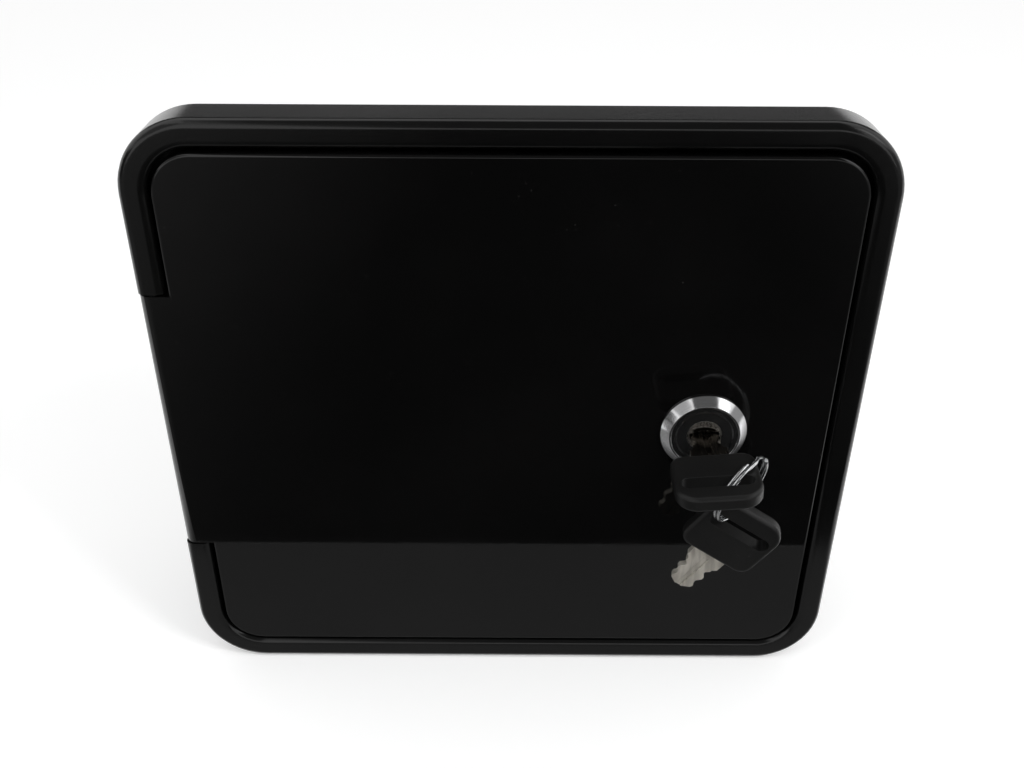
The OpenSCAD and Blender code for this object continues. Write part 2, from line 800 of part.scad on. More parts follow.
module head_corner(r, turn) {
    rotate([0, 0, turn]) rotate_extrude(angle = 90) translate([r, 0]) head_edge_section();
}

module head_side(run, turn) {
    rotate([0, 0, turn]) rotate([90, 0, 0]) linear_extrude(run) head_edge_section();
}

module head_edge() {
    tip_x = head_w / 2 - head_tip_r;
    root_x = head_w / 2 - head_root_r;
    tip_y = head_len - head_tip_r;
    for (s = [0, 1]) mirror([s, 0, 0]) {
        translate([tip_x, tip_y, 0]) head_corner(head_tip_r, 0);
        translate([root_x, head_root_r, 0]) head_corner(head_root_r, -90);
        translate([head_w / 2, tip_y, 0]) head_side(tip_y - head_root_r, 0);
    }
    translate([-tip_x, head_len, 0]) head_side(2 * tip_x, 90);
    translate([root_x, 0, 0]) head_side(2 * root_x, -90);
}

// A head's outline, drawn in by d
module head_outline(d) {
    tip_x = head_w / 2 - head_tip_r;
    root_x = head_w / 2 - head_root_r;
    tip_y = head_len - head_tip_r;
    translate([-head_w / 2 + d, head_root_r]) square([head_w - 2 * d, tip_y - head_root_r]);
    translate([-root_x, d]) square([2 * root_x, head_len / 2]);
    translate([-tip_x, head_len / 2]) square([2 * tip_x, head_len / 2 - d]);
    for (s = [-1, 1]) {
        translate([s * root_x, head_root_r]) circle(head_root_r - d);
        translate([s * tip_x, tip_y]) circle(head_tip_r - d);
    }
}

module head_shape() {
    difference() {
        union() {
            head_edge();
            translate([0, 0, -head_t / 2]) linear_extrude(head_t) head_outline(head_core_in);
        }
        translate([0, slot_at, -head_t]) linear_extrude(2 * head_t) stadium(slot_len, slot_w);
        translate([-blade_w / 2, -over, -blade_t / 2]) cube([blade_w, blade_root + over, blade_t]);
    }
}

// Turns a flat key so that its blade points into the lock
module key_in_lock() {
    at_core() translate([0, 0, key_shoulder]) rotate([90, 0, 0]) children();
}

module spare_place() {
    upright() translate([spare_x, spare_y, spare_z]) rotate([0, spare_yaw, 0]) rotate([spare_lean, 0, 0])
        rotate([0, 0, spare_turn]) translate([0, -slot_at, 0]) children();
}

module key_blade() {
    color([0.65, 0.62, 0.56]) key_in_lock() blade_shape();
}

module key_head() {
    color([0.04, 0.04, 0.04]) key_in_lock() head_shape();
}

module key_ring() {
    color([0.8, 0.8, 0.82]) upright() translate([ring_x, ring_y, ring_z]) rotate([0, ring_tilt, ring_turn])
        rotate_extrude() for (s = [-1, 1]) translate([ring_r, s * wire_pitch * wire_r]) circle(wire_r);
}

module spare_key_blade() {
    color([0.65, 0.62, 0.56]) spare_place() blade_shape();
}

module spare_key_head() {
    color([0.04, 0.04, 0.04]) spare_place() head_shape();
}

frame();
hinge_pin();
door_panel();
door_seal();
recess_pan();
fill_neck();
neck_gasket();
neck_nut();
fill_cap();
cap_washer();
vent_fitting();
vent_nut();
lock_bezel();
lock_housing();
lock_collar_ring();
lock_washer();
lock_nut();
lock_plug();
lock_cam();
cam_screw();
key_blade();
key_head();
key_ring();
spare_key_blade();
spare_key_head();
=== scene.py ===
import json
import math
import bmesh
import bpy
from mathutils import Matrix, Vector
from mathutils.bvhtree import BVHTree

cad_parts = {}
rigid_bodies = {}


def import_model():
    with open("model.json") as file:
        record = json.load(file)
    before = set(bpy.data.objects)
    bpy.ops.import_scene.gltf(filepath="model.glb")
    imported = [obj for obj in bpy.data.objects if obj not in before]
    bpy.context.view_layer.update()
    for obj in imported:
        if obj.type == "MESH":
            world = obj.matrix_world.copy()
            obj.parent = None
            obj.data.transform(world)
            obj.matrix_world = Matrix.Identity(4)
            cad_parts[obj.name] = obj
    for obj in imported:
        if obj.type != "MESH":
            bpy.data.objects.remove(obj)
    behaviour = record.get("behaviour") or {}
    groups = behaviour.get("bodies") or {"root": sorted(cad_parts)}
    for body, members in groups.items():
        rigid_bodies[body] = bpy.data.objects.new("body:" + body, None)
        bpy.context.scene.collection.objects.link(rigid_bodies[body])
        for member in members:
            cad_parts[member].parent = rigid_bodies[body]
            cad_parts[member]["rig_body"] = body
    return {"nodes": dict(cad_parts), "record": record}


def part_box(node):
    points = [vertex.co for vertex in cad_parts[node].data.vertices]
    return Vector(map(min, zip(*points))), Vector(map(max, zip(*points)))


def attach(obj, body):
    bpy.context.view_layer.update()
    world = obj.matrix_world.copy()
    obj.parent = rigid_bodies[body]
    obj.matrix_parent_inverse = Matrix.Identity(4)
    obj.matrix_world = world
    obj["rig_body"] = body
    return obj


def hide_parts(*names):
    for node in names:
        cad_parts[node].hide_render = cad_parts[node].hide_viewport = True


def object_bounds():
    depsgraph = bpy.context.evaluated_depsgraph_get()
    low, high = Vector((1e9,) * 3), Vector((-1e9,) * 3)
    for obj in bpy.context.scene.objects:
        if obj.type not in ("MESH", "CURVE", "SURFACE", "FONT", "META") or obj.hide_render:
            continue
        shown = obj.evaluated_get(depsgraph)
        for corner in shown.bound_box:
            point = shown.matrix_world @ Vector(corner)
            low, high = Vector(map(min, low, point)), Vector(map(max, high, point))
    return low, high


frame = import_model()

cad_low, cad_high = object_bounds()
nodes = frame["nodes"]
scene = bpy.context.scene

MM = 0.001
OUT = Vector((0, -1, 0))      # out of the wall, towards whoever stands in front of the hatch

# Points nearer than these, in metres, are merged
WELD = 2e-6
CAD_WELD = 1.5e-6
SPIN_WELD = 1e-7

ONE_FACE_DEGREES = 0.4        # CAD facets that meet flatter than this are one face
ROUNDED_FROM_DEGREES = 32     # a moulding's edges sharper than this are rounded


# What the imported frame says: where the lock sits, and the joints

def middle(node):
    low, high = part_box(node)
    return (low + high) / 2


door_face_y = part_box("lock_bezel")[1].y
lock_centre = Vector((middle("lock_bezel").x, door_face_y, middle("lock_bezel").z))
joints = {joint["name"]: joint for joint in frame["record"]["behaviour"]["joints"]}


# Mesh helpers

def finish_mesh(name, bm, body, material, sharp=35, outward=True, even=False):
    """Makes a piece of a finished bmesh: merged, facing out, smooth but for its sharp edges."""
    bmesh.ops.remove_doubles(bm, verts=bm.verts, dist=WELD)
    if outward:
        bmesh.ops.recalc_face_normals(bm, faces=bm.faces)
    mesh = bpy.data.meshes.new(name)
    bm.to_mesh(mesh)
    bm.free()
    mesh.shade_smooth()
    mesh.set_sharp_from_angle(angle=math.radians(sharp))
    piece = bpy.data.objects.new(name, mesh)
    scene.collection.objects.link(piece)
    piece.data.materials.append(material)
    if even:
        piece.modifiers.new("even_shading", "WEIGHTED_NORMAL").keep_sharp = True
    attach(piece, body)
    return piece


def outline_edges(bm, points):
    """A closed line of edges through points given as (radius, height)."""
    verts = [bm.verts.new((r, 0, h)) for r, h in points]
    return verts + [bm.edges.new(pair) for pair in zip(verts, verts[1:] + verts[:1])]


def turned(bm, points, steps):
    """Turns a closed section all the way round the Z axis."""
    bmesh.ops.spin(bm, geom=outline_edges(bm, points), cent=(0, 0, 0), axis=(0, 0, 1),
                   angle=math.radians(360), steps=steps, use_merge=True, use_normal_flip=False)
    bmesh.ops.remove_doubles(bm, verts=bm.verts, dist=SPIN_WELD)


def rounded(points, radius, steps):
    """A section with its corners rounded; points are (radius, height)."""
    nearly_straight = math.radians(165)
    out = []
    for i, (x, y) in enumerate(points):
        p = Vector((x, y))
        to_last = Vector(points[i - 1]) - p
        to_next = Vector(points[(i + 1) % len(points)]) - p
        turn = to_last.angle(to_next, math.pi)
        reach = min(radius / max(math.tan(turn / 2), 0.05), 0.45 * to_last.length, 0.45 * to_next.length)
        if turn > nearly_straight or reach < 1e-6:
            out.append((x, y))
            continue
        start = p + to_last.normalized() * reach
        end = p + to_next.normalized() * reach
        for k in range(steps + 1):
            t = k / steps
            q = start * (1 - t) ** 2 + p * 2 * t * (1 - t) + end * t ** 2
            out.append((q.x, q.y))
    return out


def coiled(bm, section, legs):
    """Winds a closed section round the Z axis; legs are (degrees, rise, steps); both ends are filled."""
    geom = outline_edges(bm, section)
    for angle, rise, steps in legs:
        wound = bmesh.ops.spin(bm, geom=geom, cent=(0, 0, 0), axis=(0, 0, 1), angle=math.radians(angle),
                               dvec=(0, 0, rise / steps), steps=steps, use_duplicate=False)
        geom = wound["geom_last"]
    bmesh.ops.remove_doubles(bm, verts=bm.verts, dist=SPIN_WELD)
    bmesh.ops.holes_fill(bm, edges=[e for e in bm.edges if e.is_boundary], sides=0)


def around(count):
    """Cosine and sine of evenly spaced turns round a circle."""
    turns = [2 * math.pi * i / count for i in range(count)]
    return [(math.cos(a), math.sin(a)) for a in turns]


def oval(radius, height, across, along, sides=16):
    """An oval section at a radius and height; across and along are its half sizes."""
    return [(radius + across * c, height + along * s) for c, s in around(sides)]


def stand_on(bm, centre, axis=OUT):
    """Puts a piece drawn up the Z axis at a centre, with Z along the given axis."""
    turn = axis.to_track_quat("Z", "Y").to_matrix().to_4x4()
    bm.transform(Matrix.Translation(centre) @ turn)


def moulded_copy(node, name, material, round_mm, segments=2):
    """A copy of a CAD node with its flat faces joined and its edges rounded, which takes the node's place."""
    source = nodes[node]
    bm = bmesh.new()
    bm.from_mesh(source.data)
    bmesh.ops.remove_doubles(bm, verts=bm.verts, dist=CAD_WELD)
    bmesh.ops.dissolve_degenerate(bm, edges=bm.edges, dist=1e-6)
    bmesh.ops.dissolve_limit(bm, angle_limit=math.radians(ONE_FACE_DEGREES), verts=bm.verts, edges=bm.edges)
    edges = [e for e in bm.edges
             if len(e.link_faces) == 2 and e.calc_face_angle() > math.radians(ROUNDED_FROM_DEGREES)]
    bmesh.ops.bevel(bm, geom=edges, offset=round_mm * MM, offset_type="OFFSET", segments=segments,
                    profile=0.5, affect="EDGES", clamp_overlap=True, material=-1)
    bmesh.ops.triangulate(bm, faces=bm.faces)
    piece = finish_mesh(name, bm, source["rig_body"], material, outward=False, even=True)
    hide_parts(node)
    return piece


# Node helpers

FLOAT = "NodeSocketFloat"
VECTOR = "NodeSocketVector"
MIX_UNDER, MIX_OVER, MIX_RESULT = 6, 7, 2    # the colour sockets of a Mix node


def new_group(name, inputs, outputs):
    group = bpy.data.node_groups.new(name, "ShaderNodeTree")
    for label, kind, value in inputs:
        socket = group.interface.new_socket(label, in_out="INPUT", socket_type=kind)
        socket.default_value = value
    for label in outputs:
        group.interface.new_socket(label, in_out="OUTPUT", socket_type=FLOAT)
    return group, group.nodes.new("NodeGroupInput"), group.nodes.new("NodeGroupOutput")


def add(tree, kind, **settings):
    node = tree.nodes.new(kind)
    for key, value in settings.items():
        setattr(node, key, value)
    return node


def link(tree, source, target):
    tree.links.new(source, target)


def object_coords(tree):
    return add(tree, "ShaderNodeTexCoord").outputs["Object"]


def math_node(tree, operation, a, b=None, clamp=False):
    node = add(tree, "ShaderNodeMath", operation=operation, use_clamp=clamp)
    for socket, value in zip(node.inputs, (a, b)):
        if value is None:
            continue
        if isinstance(value, (int, float)):
            socket.default_value = value
        else:
            link(tree, value, socket)
    return node.outputs[0]


def product(tree, a, b):
    return math_node(tree, "MULTIPLY", a, b)


def ramp(tree, value, low, high, to_low=0.0, to_high=1.0):
    """Eases from one number to another while a value goes from low to high."""
    node = add(tree, "ShaderNodeMapRange", interpolation_type="SMOOTHSTEP")
    link(tree, value, node.inputs["Value"])
    for label, number in (("From Min", low), ("From Max", high), ("To Min", to_low), ("To Max", to_high)):
        node.inputs[label].default_value = number
    return node.outputs["Result"]


def noise(tree, coords, scale, detail=2.0, rough=0.5):
    node = add(tree, "ShaderNodeTexNoise")
    link(tree, coords, node.inputs["Vector"])
    node.inputs["Scale"].default_value = scale
    node.inputs["Detail"].default_value = detail
    node.inputs["Roughness"].default_value = rough
    return node.outputs[0]


def cell_distance(tree, coords, scale):
    """How far each place is from the middle of its cell."""
    cells = add(tree, "ShaderNodeTexVoronoi")
    link(tree, coords, cells.inputs["Vector"])
    cells.inputs["Scale"].default_value = scale
    return cells.outputs["Distance"]


def placed(tree, coords, kind="POINT", **settings):
    """Coordinates moved, turned or stretched."""
    place = add(tree, "ShaderNodeMapping", vector_type=kind)
    link(tree, coords, place.inputs["Vector"])
    for label, value in settings.items():
        place.inputs[label].default_value = value
    return place.outputs[0]


def mixed_color(tree, factor, under, over):
    """Lays one colour over another by a mask; the one under may come from another node."""
    mix = add(tree, "ShaderNodeMix", data_type="RGBA")
    link(tree, factor, mix.inputs["Factor"])
    if isinstance(under, tuple):
        mix.inputs[MIX_UNDER].default_value = (*under, 1.0)
    else:
        link(tree, under, mix.inputs[MIX_UNDER])
    mix.inputs[MIX_OVER].default_value = (*over, 1.0)
    return mix.outputs[MIX_RESULT]


def bumped(tree, shader, height, strength, distance):
    bump = add(tree, "ShaderNodeBump")
    bump.inputs["Strength"].default_value = strength
    bump.inputs["Distance"].default_value = distance
    link(tree, height, bump.inputs["Height"])
    link(tree, bump.outputs["Normal"], shader.inputs["Normal"])


def place_group(tree, group, **values):
    node = add(tree, "ShaderNodeGroup", node_tree=group)
    for label, value in values.items():
        node.inputs[label].default_value = value
    return node


# Node groups that several finishes share

def hair_scratches(tree, coords, turn, stretch, scale, start):
    """Hair scratches in one direction: noise squeezed across it and cut down to its crests."""
    along = placed(tree, coords, Rotation=(0.0, turn, 0.0), Scale=stretch)
    return ramp(tree, noise(tree, along, scale, detail=3.0, rough=0.7), start, start + 0.08)


def make_moulded_skin():
    """Slow flow ripples, a fine skin grain and hair scratches of injection moulded plastic."""
    group, inp, out = new_group(
        "moulded_skin", [("Ripple", FLOAT, 0.3), ("Grain", FLOAT, 0.3), ("Scratches", FLOAT, 0.3)],
        ["Height", "Dull", "Tone"])
    coords = object_coords(group)
    ripple = noise(group, coords, 45.0, detail=1.0)
    grain = noise(group, coords, 2600.0)
    hairs_across = hair_scratches(group, coords, turn=0.5, stretch=(1.0, 1.0, 34.0), scale=60.0, start=0.66)
    hairs_up = hair_scratches(group, coords, turn=-0.9, stretch=(28.0, 1.0, 1.0), scale=75.0, start=0.67)
    scratch = product(group, math_node(group, "MAXIMUM", hairs_across, hairs_up), inp.outputs["Scratches"])
    cloud = ramp(group, noise(group, coords, 18.0, detail=4.0, rough=0.6), 0.35, 0.7)
    height = math_node(group, "ADD", product(group, ripple, inp.outputs["Ripple"]),
                       product(group, grain, inp.outputs["Grain"]))
    dull = math_node(group, "ADD", scratch, product(group, cloud, 0.3), clamp=True)
    tone = math_node(group, "ADD", cloud, product(group, scratch, 0.5), clamp=True)
    for value, label in ((height, "Height"), (dull, "Dull"), (tone, "Tone")):
        link(group, value, out.inputs[label])
    return group


def make_dust():
    """Fine specks and lint that lie on a surface."""
    group, inp, out = new_group("dust", [("Amount", FLOAT, 0.5)], ["Mask"])
    coords = object_coords(group)
    near = ramp(group, cell_distance(group, coords, 520.0), 0.05, 0.16, 1.0, 0.0)
    some = ramp(group, noise(group, coords, 130.0), 0.55, 0.72)
    link(group, product(group, product(group, near, some), inp.outputs["Amount"]), out.inputs["Mask"])
    return group


def make_worn_edge():
    """A mask that is white along outer edges, where a finish rubs through."""
    group, inp, out = new_group("worn_edge", [("Width", FLOAT, 0.0004)], ["Mask"])
    bevel = add(group, "ShaderNodeBevel", samples=4)
    link(group, inp.outputs["Width"], bevel.inputs["Radius"])
    flat = add(group, "ShaderNodeNewGeometry")
    dot = add(group, "ShaderNodeVectorMath", operation="DOT_PRODUCT")
    link(group, bevel.outputs[0], dot.inputs[0])
    link(group, flat.outputs["Normal"], dot.inputs[1])
    edge = ramp(group, dot.outputs["Value"], 0.8, 0.99, 1.0, 0.0)
    patchy = ramp(group, noise(group, object_coords(group), 900.0, detail=3.0), 0.4, 0.62)
    link(group, product(group, edge, patchy), out.inputs["Mask"])
    return group


def make_turning_lines():
    """Fine circles left by a lathe, round the group's Y axis."""
    bands_per_metre = 2600.0
    group, inp, out = new_group(
        "turning_lines", [("Vector", VECTOR, (0.0, 0.0, 0.0)), ("Pitch", FLOAT, 0.00012)], ["Height", "Tone"])
    split = add(group, "ShaderNodeSeparateXYZ")
    link(group, inp.outputs["Vector"], split.inputs[0])
    squares = [product(group, split.outputs[i], split.outputs[i]) for i in (0, 2)]
    radius = math_node(group, "SQRT", math_node(group, "ADD", *squares))
    turns = math_node(group, "DIVIDE", radius, inp.outputs["Pitch"])
    wave = product(group, math_node(group, "ADD", math_node(group, "SINE", turns), 1.0), 0.5)
    band = add(group, "ShaderNodeCombineXYZ")
    link(group, product(group, radius, bands_per_metre), band.inputs[0])
    uneven = noise(group, band.outputs[0], 1.0, detail=3.0, rough=0.7)
    link(group, product(group, wave, uneven), out.inputs["Height"])
    link(group, uneven, out.inputs["Tone"])
    return group


def make_brushed():
    """Fine straight scratches along one direction, as a polishing belt leaves them."""
    group, inp, out = new_group(
        "brushed", [("Vector", VECTOR, (0.0, 0.0, 0.0)), ("Scale", FLOAT, 900.0)], ["Height", "Tone"])
    fine = add(group, "ShaderNodeTexNoise")
    link(group, inp.outputs["Vector"], fine.inputs["Vector"])
    link(group, inp.outputs["Scale"], fine.inputs["Scale"])
    fine.inputs["Detail"].default_value = 4.0
    link(group, fine.outputs[0], out.inputs["Height"])
    link(group, ramp(group, fine.outputs[0], 0.35, 0.65), out.inputs["Tone"])
    return group


moulded_skin = make_moulded_skin()
dust = make_dust()
worn_edge = make_worn_edge()
turning_lines = make_turning_lines()
brushed = make_brushed()


# Plastics and rubbers

def new_material(name, color, roughness, metallic=0.0, specular=0.5):
    material = bpy.data.materials.new(name)
    material.use_nodes = True
    shader = material.node_tree.nodes["Principled BSDF"]
    shader.inputs["Base Color"].default_value = (*color, 1.0)
    shader.inputs["Roughness"].default_value = roughness
    shader.inputs["Metallic"].default_value = metallic
    shader.inputs["Specular IOR Level"].default_value = specular
    return material, material.node_tree, shader


def dusted(tree, shader, color, amount, shade):
    """Gives a shader its colour with dust of one shade over it."""
    specks = place_group(tree, dust, Amount=amount)
    link(tree, mixed_color(tree, specks.outputs["Mask"], color, shade), shader.inputs["Base Color"])


def plastic(name, dark, light, gloss, dull, ripple, grain, scratches, bump, dusty, specular=0.5):
    """A moulded plastic: dark to light tone, gloss to dull roughness, and how rough its skin is."""
    material, tree, shader = new_material(name, dark, gloss, specular=specular)
    skin = place_group(tree, moulded_skin, Ripple=ripple, Grain=grain, Scratches=scratches)
    dusted(tree, shader, mixed_color(tree, skin.outputs["Tone"], dark, light), dusty, (0.09, 0.088, 0.085))
    link(tree, ramp(tree, skin.outputs["Dull"], 0.0, 1.0, gloss, dull), shader.inputs["Roughness"])
    bumped(tree, shader, skin.outputs["Height"], strength=bump, distance=0.05 * MM)
    return material


def rubber(name, dark, light, pores):
    """A matt rubber with pores, so many to the metre."""
    material, tree, shader = new_material(name, dark, 0.75, specular=0.35)
    tone = ramp(tree, cell_distance(tree, object_coords(tree), pores), 0.0, 0.6)
    dusted(tree, shader, mixed_color(tree, tone, dark, light), 0.5, (0.1, 0.1, 0.1))
    link(tree, ramp(tree, tone, 0.0, 1.0, 0.6, 0.85), shader.inputs["Roughness"])
    bumped(tree, shader, tone, strength=0.5, distance=0.2 * MM)
    return material


gloss_black = plastic("gloss_black_moulding", (0.0014, 0.0014, 0.0014), (0.0022, 0.0021, 0.0021),
                      gloss=0.05, dull=0.18, ripple=0.6, grain=0.02, scratches=0.5, bump=0.35, dusty=0.2)
satin_black = plastic("satin_black_rim", (0.0016, 0.0016, 0.0016), (0.0026, 0.0026, 0.0025),
                      gloss=0.17, dull=0.27, ripple=0.2, grain=0.4, scratches=0.3, bump=0.4, dusty=0.12)
collar_black = plastic("collar_black", (0.006, 0.006, 0.0063), (0.009, 0.009, 0.009),
                       gloss=0.18, dull=0.4, ripple=0.2, grain=0.3, scratches=0.6, bump=0.4, dusty=0.3)
key_black = plastic("key_black_satin", (0.0055, 0.0055, 0.0056), (0.0095, 0.0093, 0.009),
                    gloss=0.4, dull=0.56, ripple=0.5, grain=0.9, scratches=0.7, bump=0.5, dusty=0.4,
                    specular=0.36)
pan_black = plastic("pan_black", (0.015, 0.015, 0.0155), (0.023, 0.023, 0.023),
                    gloss=0.42, dull=0.58, ripple=0.3, grain=1.0, scratches=0.3, bump=0.5, dusty=0.4)
cap_black = plastic("cap_black", (0.014, 0.014, 0.0145), (0.02, 0.02, 0.02),
                    gloss=0.38, dull=0.5, ripple=0.2, grain=1.0, scratches=0.3, bump=0.6, dusty=0.4)
sponge_rubber = rubber("sponge_rubber", (0.011, 0.011, 0.011), (0.022, 0.022, 0.022), pores=1500.0)
washer_rubber = rubber("washer_rubber", (0.02, 0.02, 0.02), (0.035, 0.035, 0.035), pores=3000.0)


# Metals

def painted_mouth_shade(tree, color, centre, half_sizes, rubbed_and_glint):
    """An oval painted dark as shade, darkest at its middle, with the metal painted bright in patches round
    its rim: partly wear, partly painted highlight.
    """
    spot = placed(tree, object_coords(tree), kind="TEXTURE", Location=centre, Scale=half_sizes)
    fade = add(tree, "ShaderNodeTexGradient", gradient_type="SPHERICAL")
    link(tree, spot, fade.inputs["Vector"])
    inward = fade.outputs["Fac"]
    patchy = ramp(tree, noise(tree, spot, 5.0, detail=3.0, rough=0.6), 0.4, 0.6)
    # Bright rim: partly wear and partly painted highlight. Near-black middle: painted shade.
    color = mixed_color(tree, product(tree, ramp(tree, inward, 0.0, 0.06), patchy), color, rubbed_and_glint)
    return mixed_color(tree, ramp(tree, inward, 0.14, 0.34), color, (0.02, 0.016, 0.013))


def metal(name, dark, light, smooth, dull, wear_and_glint, stretch, bump=0.25, scale=900.0, rub=0.4 * MM, shaded_oval=None,
          metallic=1.0):
    """A drawn, milled or plated metal: fine lines one way, shade painted darker into its corners and grooves,
    and edges that wear bright.

    The oval, where given, is the centre and the half sizes of an oval whose middle is painted dark as shade
    and whose rim is painted bright.
    """
    material, tree, shader = new_material(name, light, smooth, metallic=metallic)
    lines = place_group(tree, brushed, Scale=scale)
    link(tree, placed(tree, object_coords(tree), Scale=stretch), lines.inputs["Vector"])
    edge = place_group(tree, worn_edge, Width=rub)
    corners = add(tree, "ShaderNodeAmbientOcclusion", samples=6, only_local=True)
    corners.inputs["Distance"].default_value = 0.9 * MM
    # Painted shade: the colour goes darker where ambient occlusion finds corners and grooves.
    corner_shade = tuple(0.22 * c for c in dark)
    color = mixed_color(tree, lines.outputs["Tone"], dark, light)
    color = mixed_color(tree, ramp(tree, corners.outputs["AO"], 0.4, 0.9, 0.85, 0.0), color, corner_shade)
    if shaded_oval:
        color = painted_mouth_shade(tree, color, *shaded_oval, wear_and_glint)
    link(tree, mixed_color(tree, edge.outputs["Mask"], color, wear_and_glint), shader.inputs["Base Color"])
    link(tree, ramp(tree, lines.outputs["Tone"], 0.0, 1.0, smooth, dull), shader.inputs["Roughness"])
    bumped(tree, shader, lines.outputs["Height"], strength=bump, distance=0.03 * MM)
    return material


def make_bezel_metal():
    """Bright nickel with fine turned circles, anisotropic along them."""
    material, tree, shader = new_material("turned_nickel", (0.78, 0.78, 0.79), 0.24, metallic=1.0)
    circles = place_group(tree, turning_lines, Pitch=0.02 * MM)
    from_lock = placed(tree, object_coords(tree), kind="TEXTURE", Location=lock_centre)
    link(tree, from_lock, circles.inputs["Vector"])
    link(tree, mixed_color(tree, circles.outputs["Tone"], (0.68, 0.68, 0.69), (0.82, 0.82, 0.83)),
         shader.inputs["Base Color"])
    link(tree, ramp(tree, circles.outputs["Tone"], 0.3, 0.7, 0.13, 0.19), shader.inputs["Roughness"])
    shader.inputs["Anisotropic"].default_value = 0.8
    shader.inputs["Anisotropic Rotation"].default_value = 0.25
    tangent = add(tree, "ShaderNodeTangent", direction_type="RADIAL", axis="Y")
    link(tree, tangent.outputs[0], shader.inputs["Tangent"])
    bumped(tree, shader, circles.outputs["Height"], strength=0.12, distance=0.02 * MM)
    return material


keyway_mouth = lock_centre + Vector((0, -2.3 * MM, 1.6 * MM))

pin_steel = metal("drawn_pin_steel", (0.42, 0.42, 0.43), (0.6, 0.6, 0.61), smooth=0.22, dull=0.4,
                  wear_and_glint=(0.7, 0.7, 0.7), stretch=(1, 1, 0.05))
zinc_plate = metal("zinc_plate", (0.55, 0.56, 0.57), (0.72, 0.73, 0.74), smooth=0.3, dull=0.48,
                   wear_and_glint=(0.8, 0.8, 0.8), stretch=(1, 0.4, 1), scale=260.0)
nickel_silver = metal("nickel_silver", (0.66, 0.62, 0.55), (0.84, 0.8, 0.72), smooth=0.42, dull=0.58,
                      wear_and_glint=(0.95, 0.93, 0.86), stretch=(1, 1, 0.1), bump=0.4, scale=700.0, metallic=0.82)
ring_wire = metal("bright_ring_wire", (0.62, 0.63, 0.64), (0.8, 0.81, 0.82), smooth=0.14, dull=0.26,
                  wear_and_glint=(0.85, 0.85, 0.85), stretch=(1, 1, 1), bump=0.1)
collar_wire = metal("collar_ring_wire", (0.5, 0.5, 0.51), (0.72, 0.72, 0.73), smooth=0.12, dull=0.22,
                    wear_and_glint=(0.8, 0.8, 0.8), stretch=(1, 1, 1), bump=0.05)
# The plug's wide, near-white edges are partly wear and partly painted highlight. Its oval round the keyway
# mouth is painted shade.
worn_nickel = metal("worn_nickel_plug", (0.17, 0.155, 0.14), (0.7, 0.66, 0.61), smooth=0.26, dull=0.46,
                    wear_and_glint=(0.97, 0.94, 0.88), stretch=(1, 1, 1), bump=0.6, scale=4200.0, rub=0.5 * MM,
                    shaded_oval=(keyway_mouth, (4.8 * MM, 4 * MM, 1.9 * MM)))
# Painted shade: the key in the lock has nickel silver like the spare's blade, painted several times darker.
shaded_blade = metal("shaded_key_blade", (0.07, 0.062, 0.053), (0.2, 0.178, 0.15), smooth=0.16, dull=0.3,
                   wear_and_glint=(0.5, 0.46, 0.4), stretch=(1, 0.1, 1), bump=0.2, scale=700.0)
turned_nickel = make_bezel_metal()


# Flange, door and the parts behind the door

moulded_copy("frame", "flange_moulding", satin_black, round_mm=0.25)
door = moulded_copy("door_panel", "door_moulding", gloss_black, round_mm=0.2)
pan = moulded_copy("recess_pan", "pan_moulding", pan_black, round_mm=0.6, segments=3)
moulded_copy("fill_cap", "cap_moulding", cap_black, round_mm=0.5)
moulded_copy("fill_neck", "neck_moulding", pan_black, round_mm=0.5)
moulded_copy("neck_nut", "neck_nut_moulding", pan_black, round_mm=0.4)
moulded_copy("vent_fitting", "vent_moulding", pan_black, round_mm=0.3)
moulded_copy("vent_nut", "vent_nut_moulding", pan_black, round_mm=0.3)


# CAD nodes that show as they are, with a finish

for node, material in (("door_seal", sponge_rubber), ("neck_gasket", washer_rubber),
                       ("cap_washer", washer_rubber), ("hinge_pin", pin_steel),
                       ("lock_washer", zinc_plate), ("lock_collar_ring", collar_wire)):
    nodes[node].data.materials.clear()
    nodes[node].data.materials.append(material)


# Lock and keys

def make_bezel():
    """The lock's turned ring: a foot inside it, a bevel outside, and all its edges soft."""
    low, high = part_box("lock_bezel")
    outer = (high.x - low.x) / 2
    tall = high.y - low.y
    bore, mouth = 8.2 * MM, 10 * MM      # inner radius of the foot, and in front of it
    foot, edge = 0.8 * MM, 0.6 * MM      # heights of the foot and of the outer edge
    land = 0.6 * MM                      # width of the flat between the mouth and the bevel
    section = [(bore, 0), (outer, 0), (outer, edge), (mouth + land, tall), (mouth, tall), (mouth, foot),
               (bore, foot)]
    bm = bmesh.new()
    turned(bm, rounded(section, 0.22 * MM, 4), steps=160)
    stand_on(bm, lock_centre)
    piece = finish_mesh("bezel_turned", bm, "door", turned_nickel)
    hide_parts("lock_bezel")


make_bezel()
moulded_copy("lock_housing", "lock_barrel", collar_black, round_mm=0.12)
moulded_copy("lock_nut", "lock_hex_nut", zinc_plate, round_mm=0.3)
moulded_copy("lock_plug", "lock_plug_turned", worn_nickel, round_mm=0.12)
moulded_copy("lock_cam", "lock_cam_stamped", zinc_plate, round_mm=0.2)
moulded_copy("cam_screw", "cam_screw_head", zinc_plate, round_mm=0.15)
moulded_copy("key_blade", "key_blade_milled", shaded_blade, round_mm=0.08)
moulded_copy("spare_key_blade", "spare_blade_milled", nickel_silver, round_mm=0.08)
moulded_copy("key_head", "key_head_moulding", key_black, round_mm=0.15)
moulded_copy("spare_key_head", "spare_head_moulding", key_black, round_mm=0.15)


# Key ring

